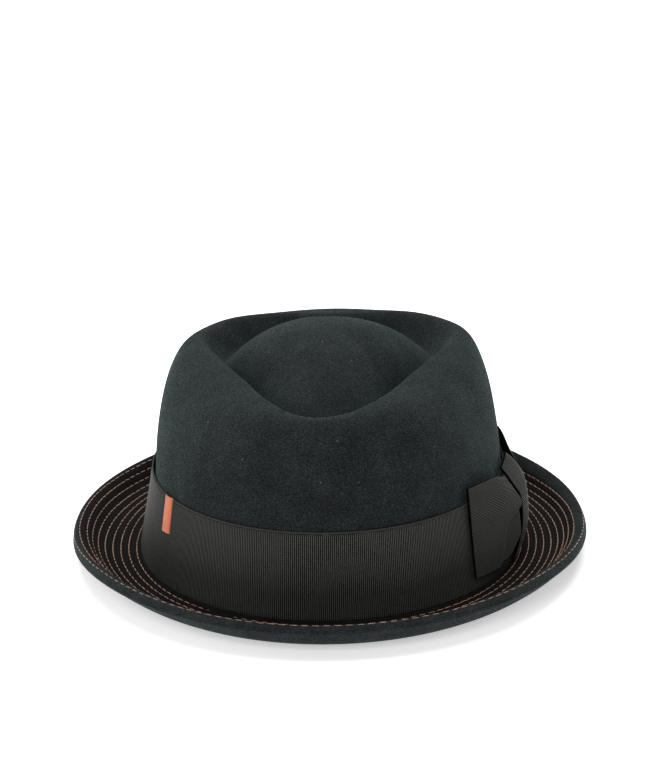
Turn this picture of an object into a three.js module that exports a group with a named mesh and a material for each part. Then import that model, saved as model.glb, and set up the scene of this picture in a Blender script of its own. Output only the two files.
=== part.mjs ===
// A felt porkpie hat with a teardrop crown and a rolled brim, a ribbed ribbon round it and a flat bow
// on the wearer's left. Millimetres, +Z up, the front towards -Y and the bow towards +X.
// The hat rests on the flat ring of its brim at z = 0, as it would on a table.
import * as THREE from "three";

const RADIANS = Math.PI / 180;

// Felt: one body, crown and brim
const FELT = 2.4; // thickness of the felt
const CROWN_LENGTH = 204.6; // outside of the crown where it meets the brim, front to back
const CROWN_WIDTH = 170.1; // the same, side to side
const CROWN_OVAL = 2.07; // power of the oval's curve: 2 is an ellipse, more is squarer
const LEAN_FRONT = 6.8; // degrees that the crown's wall leans in at the front and back
const LEAN_SIDE = 10; // degrees that it leans in at the sides
const CREST_HEIGHT = 91.5; // height of the crown's rim at the sides
const SHOULDER_START = 41; // height at which the wall begins to curve in
const CROWN_FULLNESS = 2; // how far the shoulder swells out past the straight line of the wall
const GUTTER_WIDTH = 12.2; // from the crest of the rim in to the foot of the dome
const GUTTER_DEPTH = 12.3; // from the crest of the rim down to the foot of the dome
const DOME_HEIGHT = 103.8; // height of the dome inside the rim
const DOME_CURVE = 2.42; // power of the dome's fall from its top to its foot
const DOME_ROUND = 53; // radius of the round form that the dome has near its top
const DOME_BLEND = 1; // power by which that form turns into the rim's outline further down
const BREAK_RADIUS = 0.8; // fillet between the crown and the brim
const BRIM_WIDTH = 33.3; // measured on the felt, from the crown to the edge
const ROLL_WIDTH = 7.5; // the band along the brim's edge, which turns to a slope of its own
const ROLL_BEND = 5; // stretch of felt over which the brim bends into that band

// Ribbon and bow
const RIBBON_WIDTH = 38.5;
const RIBBON_THICKNESS = 1; // ribbon with its folded backing
const CLEARANCE = 0.3; // gap between pieces that touch
const RIBBON_BOTTOM = 3.3; // height of the ribbon's lower edge
const BOW_THICKNESS = 1.2; // doubled ribbon
const BOW_ANGLE = 74; // place of the bow's middle, degrees round from the front
const BOW_REACH = 34; // degrees from there to the end of the back wing
const BOW_DEPTH = 9; // how far the bow stands out from the ribbon at its knot
const TACK_ANGLE = -51; // place of the stitched bar, degrees round from the front
const TACK_WIDTH = 7.5;
const TACK_LENGTH = 16;
const TACK_THICKNESS = 1;

// Number of facets round the hat; they are closer together at the front, where the rim is pinched
const FACETS = 60;
const FRONT_CROWDING = 0.35;

// The rim of the crown by angle from the front, round by the bow. inset is the crest's distance from the middle
// as a share of the wall's there, height is a share of CREST_HEIGHT, and round is the power of the curve from
// the wall to the crest: more is a tighter shoulder.
const RIM = [
  { at: 0, inset: 0.962, height: 0.952, round: 3.42 },
  { at: 12, inset: 0.85, height: 0.957, round: 3.4 },
  { at: 25, inset: 0.727, height: 0.962, round: 3.35 },
  { at: 40, inset: 0.65, height: 0.967, round: 3.26 },
  { at: 60, inset: 0.655, height: 0.98, round: 3.15 },
  { at: 90, inset: 0.748, height: 0.998, round: 4.76 },
  { at: 120, inset: 0.919, height: 0.994, round: 5.35 },
  { at: 150, inset: 0.883, height: 0.993, round: 2.42 },
  { at: 180, inset: 0.744, height: 0.98, round: 3.62 },
  { at: 210, inset: 0.883, height: 0.984, round: 2.42 },
  { at: 240, inset: 0.919, height: 0.98, round: 5.35 },
  { at: 270, inset: 0.748, height: 0.992, round: 4.76 },
  { at: 300, inset: 0.655, height: 0.978, round: 3.15 },
  { at: 320, inset: 0.65, height: 0.967, round: 3.26 },
  { at: 335, inset: 0.727, height: 0.962, round: 3.35 },
  { at: 348, inset: 0.85, height: 0.957, round: 3.4 },
];

// The brim by angle from the front, round by the bow. flat is the level stretch next to the crown as a share
// of BRIM_WIDTH, slope the angle that the felt has turned up to where the edge band begins, and edge the
// slope of that band.
const BRIM = [
  { at: 0, flat: 0.37, slope: 45.3, edge: 55.3 },
  { at: 45, flat: 0.28, slope: 51.9, edge: 45.4 },
  { at: 90, flat: 0.38, slope: 58.3, edge: 22.3 },
  { at: 135, flat: 0.48, slope: 59.8, edge: 55 },
  { at: 180, flat: 0.1, slope: 48.6, edge: 72.6 },
  { at: 225, flat: 0.52, slope: 56.6, edge: 55.4 },
  { at: 270, flat: 0.36, slope: 59.9, edge: 5.4 },
  { at: 315, flat: 0.23, slope: 54, edge: 33.7 },
];

// The bow's wings and knot as nets of places on their outer faces, with rows from the lower end up and columns
// round the hat. A place is its angle from the bow's middle as a share of BOW_REACH, its height above the
// ribbon's lower edge as a share of RIBBON_WIDTH, and how far it stands out as a share of BOW_DEPTH.
const FRONT_WING = [
  [[-0.941, 0.153, 0.211], [-0.838, 0.145, 0.256], [-0.726, 0.14, 0.333], [-0.629, 0.135, 0.422]],
  [[-0.941, 0.369, 0.211], [-0.815, 0.369, 0.311], [-0.676, 0.369, 0.456], [-0.559, 0.369, 0.578]],
  [[-0.941, 0.603, 0.222], [-0.785, 0.59, 0.367], [-0.624, 0.582, 0.567], [-0.488, 0.574, 0.733]],
  [[-0.938, 0.797, 0.233], [-0.75, 0.777, 0.411], [-0.485, 0.719, 0.711], [-0.224, 0.673, 1]],
  [[-0.938, 0.992, 0.244], [-0.75, 0.984, 0.456], [-0.529, 0.948, 0.744], [-0.312, 0.873, 0.922]],
  [[-0.935, 1.166, 0.244], [-0.75, 1.161, 0.4], [-0.565, 1.148, 0.6], [-0.394, 1.065, 0.689]],
];
const KNOT = [
  [[-0.235, 0.029, 0.211], [-0.074, 0.023, 0.233], [0.088, 0.023, 0.233], [0.235, 0.029, 0.211]],
  [[-0.188, 0.2, 0.511], [-0.059, 0.2, 0.6], [0.088, 0.2, 0.6], [0.224, 0.2, 0.511]],
  [[-0.159, 0.408, 0.8], [-0.044, 0.408, 0.889], [0.088, 0.408, 0.889], [0.218, 0.408, 0.778]],
  [[-0.141, 0.706, 0.911], [-0.029, 0.712, 1], [0.103, 0.714, 1], [0.235, 0.714, 0.889]],
  [[-0.194, 0.87, 0.756], [-0.062, 0.875, 0.878], [0.094, 0.875, 0.9], [0.241, 0.875, 0.8]],
  [[-0.188, 1.01, 0.444], [-0.068, 1.023, 0.544], [0.088, 1.031, 0.556], [0.235, 1.031, 0.467]],
  [[-0.171, 1.088, 0.211], [-0.053, 1.109, 0.233], [0.082, 1.119, 0.233], [0.218, 1.114, 0.211]],
];
const BACK_WING = [
  [[0.632, 0.138, 0.367], [0.75, 0.138, 0.3], [0.868, 0.138, 0.244], [0.985, 0.143, 0.211]],
  [[0.544, 0.369, 0.467], [0.676, 0.369, 0.378], [0.838, 0.369, 0.289], [0.985, 0.369, 0.211]],
  [[0.471, 0.603, 0.6], [0.618, 0.603, 0.467], [0.794, 0.603, 0.333], [0.988, 0.603, 0.211]],
  [[0.318, 0.725, 0.822], [0.5, 0.745, 0.644], [0.75, 0.766, 0.4], [0.988, 0.787, 0.211]],
  [[0.321, 0.912, 0.644], [0.515, 0.938, 0.444], [0.75, 0.958, 0.311], [0.991, 0.974, 0.211]],
  [[0.365, 1.062, 0.378], [0.544, 1.099, 0.267], [0.75, 1.119, 0.222], [0.994, 1.125, 0.211]],
];
const WING_SECTIONS = 10; // sections of a wing from side to side
const KNOT_SECTIONS = 6;
const BOW_POINTS = 12; // points of a section from its lower end up

/** A column of a table that covers a whole turn, at an angle in degrees. */
function around(table, column, degrees) {
  const turn = ((degrees % 360) + 360) % 360;
  const count = table.length;
  const row = (i) => ({
    at: table[((i % count) + count) % count].at + 360 * Math.floor(i / count),
    value: table[((i % count) + count) % count][column],
  });
  let i = 0;
  while (i < count - 1 && table[i + 1].at <= turn) i += 1;
  return hermite(row(i - 1), row(i), row(i + 1), row(i + 2), turn);
}

/** The same, evened over a few degrees to each side. */
function evened(table, column, degrees) {
  const weights = [1, 4, 6, 4, 1];
  return weights.reduce((sum, weight, i) => sum + (weight / 16) * around(table, column, degrees + 5 * (i - 2)), 0);
}

/** A smooth curve through four rows of a table, read between the middle two. */
function hermite(before, start, end, after, at) {
  const span = end.at - start.at;
  const t = (at - start.at) / span;
  const leave = ((end.value - before.value) / (end.at - before.at)) * span;
  const arrive = ((after.value - start.value) / (after.at - start.at)) * span;
  return (
    (2 * t ** 3 - 3 * t ** 2 + 1) * start.value +
    (t ** 3 - 2 * t ** 2 + t) * leave +
    (3 * t ** 2 - 2 * t ** 3) * end.value +
    (t ** 3 - t ** 2) * arrive
  );
}

/** A smooth curve through values one step apart, read at a place between the first and the last. */
function through(values, at) {
  const last = values.length - 1;
  const i = Math.min(Math.floor(at), last - 1);
  const value = (k) => {
    if (k < 0) return 2 * values[0] - values[1];
    return k > last ? 2 * values[last] - values[last - 1] : values[k];
  };
  return hermite(...[i - 1, i, i + 1, i + 2].map((k) => ({ at: k, value: value(k) })), at);
}

/** The angle, height and stand-out of a net at a row and a column between its places. */
function netPlace(net, row, column) {
  return [0, 1, 2].map((k) => through(net.map((places) => through(places.map((place) => place[k]), column)), row));
}

/** Distance from the middle to the crown's wall at a height, as if the wall went on straight. */
function wallRadius(degrees, height) {
  const above = height - FELT;
  const length = CROWN_LENGTH / 2 - above * Math.tan(LEAN_FRONT * RADIANS);
  const width = CROWN_WIDTH / 2 - above * Math.tan(LEAN_SIDE * RADIANS);
  const c = Math.abs(Math.cos(degrees * RADIANS)) / length;
  const s = Math.abs(Math.sin(degrees * RADIANS)) / width;
  return (c ** CROWN_OVAL + s ** CROWN_OVAL) ** (-1 / CROWN_OVAL);
}

/** A point from its angle round from the front, distance from the middle and height. */
function place(degrees, radius, height) {
  return new THREE.Vector3(
    radius * Math.sin(degrees * RADIANS),
    -radius * Math.cos(degrees * RADIANS),
    height,
  );
}

/** A point of the crown's outer face: stage 0 to 1 is the wall, to 2 the shoulder, to 3 the gutter, to 4 the dome. */
function crownPoint(degrees, stage) {
  const wallFoot = FELT + BREAK_RADIUS;
  if (stage < 1) {
    const height = wallFoot + (SHOULDER_START - wallFoot) * stage;
    return place(degrees, wallRadius(degrees, height), height);
  }
  const crestHeight = CREST_HEIGHT * evened(RIM, "height", degrees);
  const crestRadius = evened(RIM, "inset", degrees) * wallRadius(degrees, CREST_HEIGHT);
  if (stage < 2) {
    const power = 2 / evened(RIM, "round", degrees);
    const turn = (stage - 1) * (Math.PI / 2);
    const risen = Math.sin(turn) ** power;
    const height = SHOULDER_START + (crestHeight - SHOULDER_START) * risen;
    const wall = wallRadius(degrees, height) + CROWN_FULLNESS * (1 - (1 - risen) ** 3);
    return place(degrees, crestRadius + (wall - crestRadius) * Math.cos(turn) ** power, height);
  }
  if (stage < 3) {
    const share = stage - 2;
    const drop = 0.5 - 0.5 * Math.cos(Math.PI * share);
    return place(degrees, crestRadius - GUTTER_WIDTH * share, crestHeight - GUTTER_DEPTH * drop);
  }
  const share = 4 - stage;
  const foot = crestHeight - GUTTER_DEPTH;
  const height = DOME_HEIGHT - (DOME_HEIGHT - foot) * share ** DOME_CURVE;
  const blend = share ** DOME_BLEND;
  return place(degrees, share * (DOME_ROUND * (1 - blend) + (crestRadius - GUTTER_WIDTH) * blend), height);
}

/** A point of the crown's outer face with the face's direction there. */
function crownFace(degrees, stage) {
  const step = 0.002;
  const up = crownPoint(degrees, Math.min(stage + step, 3.999)).sub(crownPoint(degrees, Math.max(stage - step, 0)));
  const round = crownPoint(degrees + step, stage).sub(crownPoint(degrees - step, stage));
  return { point: crownPoint(degrees, stage), normal: round.cross(up).normalize() };
}

/** Slope of the brim's upper face, in radians, at a distance out along the felt. */
function brimSlope(degrees, distance) {
  const flat = around(BRIM, "flat", degrees) * BRIM_WIDTH;
  const turned = around(BRIM, "slope", degrees) * RADIANS;
  const edge = around(BRIM, "edge", degrees) * RADIANS;
  const band = BRIM_WIDTH - ROLL_WIDTH;
  if (distance < flat) return 0;
  if (distance < band) return (turned * (distance - flat)) / (band - flat);
  return turned + (edge - turned) * Math.min((distance - band) / ROLL_BEND, 1);
}

/** A point of the brim's upper face at a distance out along the felt, with the face's direction there. */
function brimFace(degrees, distance) {
  const steps = 48;
  const length = distance / steps;
  let run = 0;
  let rise = 0;
  for (let i = 0; i < steps; i += 1) {
    const slope = brimSlope(degrees, (i + 0.5) * length);
    run += length * Math.cos(slope);
    rise += length * Math.sin(slope);
  }
  const outward = outwardFrom(degrees);
  const slope = brimSlope(degrees, distance);
  const point = place(degrees, wallRadius(degrees, FELT), FELT + rise).addScaledVector(outward, run);
  const normal = outward.clone().multiplyScalar(-Math.sin(slope)).setZ(Math.cos(slope));
  return { point, normal };
}

/** Level direction straight out from the crown's oval. */
function outwardFrom(degrees) {
  const step = 0.01;
  const after = place(degrees + step, wallRadius(degrees + step, FELT), 0);
  const before = place(degrees - step, wallRadius(degrees - step, FELT), 0);
  const along = after.sub(before);
  return new THREE.Vector3(along.y, -along.x, 0).normalize();
}

/** The angles of the facets round the hat. */
function facetAngles() {
  return Array.from({ length: FACETS }, (_, i) => {
    const turn = (2 * Math.PI * i) / FACETS;
    return (turn - FRONT_CROWDING * Math.sin(turn)) / RADIANS;
  });
}

/** A geometry from points and triangles. */
function geometry(points, triangles) {
  const result = new THREE.BufferGeometry();
  result.setAttribute("position", new THREE.Float32BufferAttribute(points.flatMap((p) => [p.x, p.y, p.z]), 3));
  result.setIndex(triangles.flat());
  result.computeVertexNormals();
  return result;
}

/** A closed skin over rings of points, from a first pole to a last one, or round and back where there are none. */
function loft(rings, firstPole, lastPole) {
  const points = rings.flat();
  const count = rings[0].length;
  const triangles = [];
  const between = (j, k) => {
    for (let i = 0; i < count; i += 1) {
      const n = (i + 1) % count;
      triangles.push([j * count + i, k * count + i, k * count + n], [j * count + i, k * count + n, j * count + n]);
    }
  };
  for (let j = 0; j < rings.length - 1; j += 1) between(j, j + 1);
  if (firstPole === undefined) {
    between(rings.length - 1, 0);
    return geometry(points, triangles);
  }
  const last = (rings.length - 1) * count;
  for (let i = 0; i < count; i += 1) {
    const n = (i + 1) % count;
    triangles.push([points.length, i, n], [points.length + 1, last + n, last + i]);
  }
  return geometry([...points, firstPole, lastPole], triangles);
}

/** The felt's outer face as rings of points and directions, from the dome to the brim's edge. */
function feltFaces() {
  const crownStages = [
    3.75, 3.5, 3.25, 3, 2.8, 2.62, 2.45, 2.28, 2.12, 2, 1.85, 1.72, 1.58, 1.44, 1.3, 1.14, 1, 0.5, 0,
  ];
  const brimShares = [0.03, 0.13, 0.3, 0.45, 0.58, 0.69, 0.775, 0.825, 0.875, 0.925, 1];
  const angles = facetAngles();
  return [
    ...crownStages.map((stage) => angles.map((degrees) => crownFace(degrees, stage))),
    ...brimShares.map((share) => angles.map((degrees) => brimFace(degrees, share * BRIM_WIDTH))),
  ];
}

/** Crown and brim: one felt body of even thickness, open below where the head goes in. */
function feltBody() {
  const faces = feltFaces();
  const outer = faces.map((ring) => ring.map(({ point }) => point));
  const inner = faces.map((ring) => ring.map(({ point, normal }) => point.clone().addScaledVector(normal, -FELT)));
  const rim = [45, 90, 135].map((turn) =>
    faces[faces.length - 1].map(({ point, normal }, i) => {
      const out = point.clone().sub(outer[outer.length - 2][i]).normalize();
      const lift = FELT * (Math.cos(turn * RADIANS) - 1) * 0.5;
      return point
        .clone()
        .addScaledVector(normal, lift)
        .addScaledVector(out, FELT * Math.sin(turn * RADIANS) * 0.5);
    }),
  );
  const top = new THREE.Vector3(0, 0, DOME_HEIGHT);
  const under = new THREE.Vector3(0, 0, DOME_HEIGHT - FELT);
  return loft([...outer, ...rim, ...inner.reverse()], top, under);
}

/** A point of the crown's wall at a height, moved straight out from the felt. */
function offWall(degrees, height, out) {
  const step = 0.01;
  const at = (d, h) => place(d, wallRadius(d, h), h);
  const round = at(degrees + step, height).sub(at(degrees - step, height));
  const up = at(degrees, height + step).sub(at(degrees, height - step));
  return at(degrees, height).addScaledVector(round.cross(up).normalize(), out);
}

/** The ribbon round the crown, one even band. */
function ribbonBand() {
  const top = RIBBON_BOTTOM + RIBBON_WIDTH * Math.cos(LEAN_SIDE * RADIANS);
  const far = CLEARANCE + RIBBON_THICKNESS;
  const corners = [
    [CLEARANCE, top],
    [far, top],
    [far, RIBBON_BOTTOM],
    [CLEARANCE, RIBBON_BOTTOM],
  ];
  return loft(corners.map(([out, height]) => facetAngles().map((degrees) => offWall(degrees, height, out))));
}

/** A thin plate from two grids of points, its outer and its inner face. */
function plate(outer, inner) {
  const rows = outer.length;
  const columns = outer[0].length;
  const points = [...outer.flat(), ...inner.flat()];
  const index = (side, j, i) => side * rows * columns + j * columns + i;
  const triangles = [];
  const quad = (a, b, c, d) => triangles.push([a, b, c], [a, c, d]);
  for (let j = 0; j < rows - 1; j += 1) {
    for (let i = 0; i < columns - 1; i += 1) {
      quad(index(0, j, i), index(0, j + 1, i), index(0, j + 1, i + 1), index(0, j, i + 1));
      quad(index(1, j, i), index(1, j, i + 1), index(1, j + 1, i + 1), index(1, j + 1, i));
    }
  }
  for (let j = 0; j < rows - 1; j += 1) {
    quad(index(0, j, 0), index(1, j, 0), index(1, j + 1, 0), index(0, j + 1, 0));
    const i = columns - 1;
    quad(index(0, j + 1, i), index(1, j + 1, i), index(1, j, i), index(0, j, i));
  }
  for (let i = 0; i < columns - 1; i += 1) {
    quad(index(0, 0, i + 1), index(1, 0, i + 1), index(1, 0, i), index(0, 0, i));
    const j = rows - 1;
    quad(index(0, j, i), index(1, j, i), index(1, j, i + 1), index(0, j, i + 1));
  }
  return geometry(points, triangles);
}

/** A piece of the bow: a doubled ribbon laid through its net. */
function bowPiece(net, sections) {
  const face = (depth) =>
    Array.from({ length: sections }, (_, j) =>
      Array.from({ length: BOW_POINTS }, (_unused, i) => {
        const row = ((net.length - 1) * i) / (BOW_POINTS - 1);
        const [turn, up, stand] = netPlace(net, row, ((net[0].length - 1) * j) / (sections - 1));
        const out = CLEARANCE + RIBBON_THICKNESS + Math.max(BOW_DEPTH * stand, CLEARANCE + BOW_THICKNESS) - depth;
        return offWall(BOW_ANGLE + BOW_REACH * turn, RIBBON_BOTTOM + RIBBON_WIDTH * up, out);
      }),
    );
  return plate(face(0), face(BOW_THICKNESS));
}

/** The stitched bar that hangs from the ribbon's upper edge: a plain upright strip. */
function threadTack() {
  const top = RIBBON_BOTTOM + RIBBON_WIDTH * Math.cos(LEAN_SIDE * RADIANS);
  const turn = TACK_WIDTH / (CROWN_WIDTH / 2) / RADIANS;
  const face = (out) =>
    [0, 1, 2, 3].map((j) =>
      [0, 1].map((i) =>
        offWall(TACK_ANGLE + turn * (j / 3 - 0.5), top - TACK_LENGTH * (1 - i), CLEARANCE + RIBBON_THICKNESS + out),
      ),
    );
  return plate(face(CLEARANCE + TACK_THICKNESS), face(CLEARANCE));
}

/** A named piece in its own finish. */
function piece(name, shape, color, roughness) {
  const mesh = new THREE.Mesh(shape, new THREE.MeshStandardMaterial({ color, roughness, metalness: 0 }));
  mesh.name = name;
  return mesh;
}

const FELT_COLOUR = 0x17191a;
const RIBBON_COLOUR = 0x1c1a19;
const THREAD_COLOUR = 0xb0562f;

const hat = new THREE.Group();
hat.add(
  piece("felt_body", feltBody(), FELT_COLOUR, 0.95),
  piece("ribbon_band", ribbonBand(), RIBBON_COLOUR, 0.7),
  piece("bow_front_wing", bowPiece(FRONT_WING, WING_SECTIONS), RIBBON_COLOUR, 0.7),
  piece("bow_knot", bowPiece(KNOT, KNOT_SECTIONS), RIBBON_COLOUR, 0.7),
  piece("bow_back_wing", bowPiece(BACK_WING, WING_SECTIONS), RIBBON_COLOUR, 0.7),
  piece("thread_tack", threadTack(), THREAD_COLOUR, 0.6),
);

// The middle of the brim's outline is over the origin
const outline = new THREE.Box3().setFromObject(hat);
hat.position.set(-(outline.min.x + outline.max.x) / 2, -(outline.min.y + outline.max.y) / 2, 0);

export default hat;
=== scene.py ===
"""A black felt porkpie hat with a ribbed ribbon, a flat bow and ten rows of copper stitches round its brim.

Sizes inside the shape functions are millimetres from the middle of the crown; meshes are made in metres.
Angles are degrees round the hat: 0 is the front, 90 the side with the bow.
"""
import math

import bpy
import mathutils
import numpy as np
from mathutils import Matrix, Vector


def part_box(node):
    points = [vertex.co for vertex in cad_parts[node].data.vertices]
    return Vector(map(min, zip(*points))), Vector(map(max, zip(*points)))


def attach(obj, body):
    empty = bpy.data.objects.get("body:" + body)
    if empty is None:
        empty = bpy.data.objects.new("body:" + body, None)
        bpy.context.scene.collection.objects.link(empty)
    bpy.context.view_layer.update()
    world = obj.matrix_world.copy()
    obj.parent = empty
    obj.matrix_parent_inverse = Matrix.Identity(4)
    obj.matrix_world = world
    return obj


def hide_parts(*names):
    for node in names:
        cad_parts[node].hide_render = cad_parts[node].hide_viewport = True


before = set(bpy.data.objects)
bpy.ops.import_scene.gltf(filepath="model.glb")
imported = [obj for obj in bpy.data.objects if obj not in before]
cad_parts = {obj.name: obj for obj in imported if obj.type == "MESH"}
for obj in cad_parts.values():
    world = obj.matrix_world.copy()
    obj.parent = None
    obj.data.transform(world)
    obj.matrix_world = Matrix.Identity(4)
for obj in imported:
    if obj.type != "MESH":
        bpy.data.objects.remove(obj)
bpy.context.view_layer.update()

bl_info = {
    "name": "Felt porkpie hat",
    "version": (1, 0, 0),
    "blender": (4, 5, 0),
    "location": "View3D > Sidebar > Hat",
    "description": "Builds the felt, ribbon, bow and stitching of a porkpie hat on its frame",
    "category": "Object",
}

MM = 0.001

# Felt
FELT = 2.4
CROWN_LENGTH = 204.6
CROWN_WIDTH = 170.1
CROWN_OVAL = 2.07
LEAN_FRONT = 6.8
LEAN_SIDE = 10
CREST_HEIGHT = 91.5
SHOULDER_START = 41
CROWN_FULLNESS = 2.0
GUTTER_WIDTH = 12.2
GUTTER_DEPTH = 12.3
DOME_HEIGHT = 103.8
DOME_CURVE = 2.42
DOME_ROUND = 53
DOME_BLEND = 1.0
BREAK_RADIUS = 0.8
BRIM_WIDTH = 33.3
ROLL_WIDTH = 7.5
ROLL_BEND = 5.0
EDGE_EXTRA = 2.0  # how much thicker than the rest the edge is
EDGE_STARTS, EDGE_GROWS = 0.56, 0.3  # where the felt starts to thicken and over how much, shares of the brim
HAND_WAVE, HAND_WAVE_LENGTH = 0.3, 60
CROWN_ROWS = 128
BRIM_STEP = 0.5  # from row to row of the brim's face
UNDER_EVERY = 3  # the under face has every third of the upper face's rows

# Ribbon
RIBBON_WIDTH = 38.5
RIBBON_BOTTOM = 3.3
RIBBON_FACE = 1.3  # the CAD ribbon's outer face, out from the felt
TACK_ANGLE = -51
TACK_STITCHES = 32

# Rows from the ribbon's lower edge up its face, over the woven edge and down its back: share of the width,
# distance from the felt, and share of the cords' height
RIBBON_ROWS = np.array([
    (0.0, 0.45, 0), (0.0, 0.75, 0.4), (0.012, 1.0, 0.9), (0.03, 1.02, 1), (0.1, 1.05, 1),
    (0.2, 1.08, 1), (0.35, 1.1, 1), (0.5, 1.1, 1), (0.65, 1.1, 1), (0.8, 1.1, 1),
    (0.9, 1.12, 1), (0.97, 1.18, 1), (0.988, 1.22, 1), (1.0, 1.05, 0.5), (1.0, 0.75, 0),
    (0.75, 0.45, 0), (0.25, 0.4, 0),
])
WOVEN_EDGE = (12, 13, 14)

# The photograph's camera: its turn, rise and roll in degrees, its distance in millimetres, its focal length
# in pixels, the picture's size and where in it the line towards the crown's middle meets it
CAMERA_TURN, CAMERA_RISE, CAMERA_ROLL = 1.679, 18.46, -0.884
CAMERA_DISTANCE = 1086.08
CAMERA_FOCAL = 2392.6
CAMERA_AIM_HEIGHT = 49.2
PICTURE_WIDTH, PICTURE_HEIGHT = 648, 776
MIDDLE_X, MIDDLE_Y = 327.86, 439.48

# Angle, inset of the crest as a share of the wall's distance, height as a share of the crest's, shoulder
# power
RIM = np.array([
    (0, 0.962, 0.952, 3.42),
    (12, 0.850, 0.957, 3.40),
    (25, 0.727, 0.962, 3.35),
    (40, 0.650, 0.967, 3.26),
    (60, 0.655, 0.980, 3.15),
    (90, 0.748, 0.998, 4.76),
    (120, 0.919, 0.994, 5.35),
    (150, 0.883, 0.993, 2.42),
    (180, 0.744, 0.980, 3.62),
    (210, 0.883, 0.984, 2.42),
    (240, 0.919, 0.980, 5.35),
    (270, 0.748, 0.992, 4.76),
    (300, 0.655, 0.978, 3.15),
    (320, 0.650, 0.967, 3.26),
    (335, 0.727, 0.962, 3.35),
    (348, 0.850, 0.957, 3.40),
])

# Angle, level stretch as a share of the brim's width, slope before the edge band, slope of the edge band,
# distance from the crown to the first row of stitches, distance from row to row, and the bend of the rounded
# edge, in degrees, at which the tenth row lies
BRIM = np.array([
    (0, 0.37, 45.3, 55.3, 3.0, 3.55, 62),
    (45, 0.28, 51.9, 45.4, 2.6, 3.40, 50),
    (90, 0.38, 58.3, 22.3, 2.9, 3.34, 60),
    (135, 0.48, 59.8, 55.0, 2.9, 3.04, 60),
    (180, 0.10, 48.6, 72.6, 3.1, 3.42, 80),
    (225, 0.52, 56.6, 55.4, 3.5, 3.65, 88),
    (270, 0.36, 59.9, 5.4, 3.0, 3.65, 80),
    (315, 0.23, 54.0, 33.7, 2.6, 3.50, 38),
])
INNER_ROWS = 9

# The bow's sheets: rows from the lower end up, columns round the hat, and in each place the angle, the height
# and how far the outer face stands out from the ribbon
FRONT_WING = np.array([
    [(42.0, 9.2, 1.9), (45.5, 8.9, 2.3), (49.3, 8.7, 3.0), (52.6, 8.5, 3.8)],
    [(42.0, 17.5, 1.9), (46.3, 17.5, 2.8), (51.0, 17.5, 4.1), (55.0, 17.5, 5.2)],
    [(42.0, 26.5, 2.0), (47.3, 26.0, 3.3), (52.8, 25.7, 5.1), (57.4, 25.4, 6.6)],
    [(42.1, 34.0, 2.1), (48.5, 33.2, 3.7), (57.5, 31.0, 6.4), (66.4, 29.2, 9.0)],
    [(42.1, 41.5, 2.2), (48.5, 41.2, 4.1), (56.0, 39.8, 6.7), (63.4, 36.9, 8.3)],
    [(42.2, 48.2, 2.2), (48.5, 48.0, 3.6), (54.8, 47.5, 5.4), (60.6, 44.3, 6.2)],
])
FRONT_LAYER = np.array([
    [(46.0, 9.2, 1.5), (51.5, 8.8, 1.9), (56.5, 9.0, 2.6), (60.5, 9.8, 3.8)],
    [(48.0, 15.0, 1.6), (54.0, 15.0, 2.2), (59.5, 15.2, 3.6), (65.4, 15.8, 6.6)],
    [(49.0, 21.5, 1.7), (55.5, 21.5, 2.4), (61.0, 21.5, 4.4), (66.4, 21.3, 7.2)],
    [(50.0, 29.5, 1.8), (56.5, 29.5, 2.6), (61.5, 28.5, 4.6), (66.2, 27.5, 7.2)],
    [(51.0, 36.0, 1.8), (57.0, 35.5, 2.8), (61.0, 34.5, 4.2), (64.8, 33.6, 5.8)],
])
KNOT = np.array([
    [(66.0, 4.4, 1.9), (71.5, 4.2, 2.1), (77.0, 4.2, 2.1), (82.0, 4.4, 1.9)],
    [(67.6, 11.0, 4.6), (72.0, 11.0, 5.4), (77.0, 11.0, 5.4), (81.6, 11.0, 4.6)],
    [(68.6, 19.0, 7.2), (72.5, 19.0, 8.0), (77.0, 19.0, 8.0), (81.4, 19.0, 7.0)],
    [(69.2, 30.5, 8.2), (73.0, 30.7, 9.0), (77.5, 30.8, 9.0), (82.0, 30.8, 8.0)],
    [(67.4, 36.8, 6.8), (71.9, 37.0, 7.9), (77.2, 37.0, 8.1), (82.2, 37.0, 7.2)],
    [(67.6, 42.2, 4.0), (71.7, 42.7, 4.9), (77.0, 43.0, 5.0), (82.0, 43.0, 4.2)],
    [(68.2, 45.2, 1.9), (72.2, 46.0, 2.1), (76.8, 46.4, 2.1), (81.4, 46.2, 1.9)],
])
BACK_WING = np.array([
    [(95.5, 8.6, 3.3), (99.5, 8.6, 2.7), (103.5, 8.6, 2.2), (107.5, 8.8, 1.9)],
    [(92.5, 17.5, 4.2), (97.0, 17.5, 3.4), (102.5, 17.5, 2.6), (107.5, 17.5, 1.9)],
    [(90.0, 26.5, 5.4), (95.0, 26.5, 4.2), (101.0, 26.5, 3.0), (107.6, 26.5, 1.9)],
    [(84.8, 31.2, 7.4), (91.0, 32.0, 5.8), (99.5, 32.8, 3.6), (107.6, 33.6, 1.9)],
    [(84.9, 38.4, 5.8), (91.5, 39.4, 4.0), (99.5, 40.2, 2.8), (107.7, 40.8, 1.9)],
    [(86.4, 44.2, 3.4), (92.5, 45.6, 2.4), (99.5, 46.4, 2.0), (107.8, 46.6, 1.9)],
])
BACK_LAYER = np.array([
    [(87.0, 9.8, 3.6), (91.5, 9.0, 2.6), (96.5, 8.8, 1.9), (102.5, 9.2, 1.5)],
    [(84.5, 15.8, 5.9), (88.5, 15.2, 3.6), (94.5, 15.0, 2.2), (101.0, 15.0, 1.6)],
    [(83.6, 21.3, 6.6), (87.5, 21.5, 4.2), (92.5, 21.5, 2.4), (99.5, 21.5, 1.7)],
    [(83.8, 27.5, 6.6), (87.5, 28.5, 4.4), (92.5, 29.5, 2.4), (98.5, 29.5, 1.8)],
    [(85.2, 33.6, 5.0), (88.0, 34.5, 3.8), (92.0, 35.5, 2.4), (97.5, 36.0, 1.8)],
])


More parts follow.
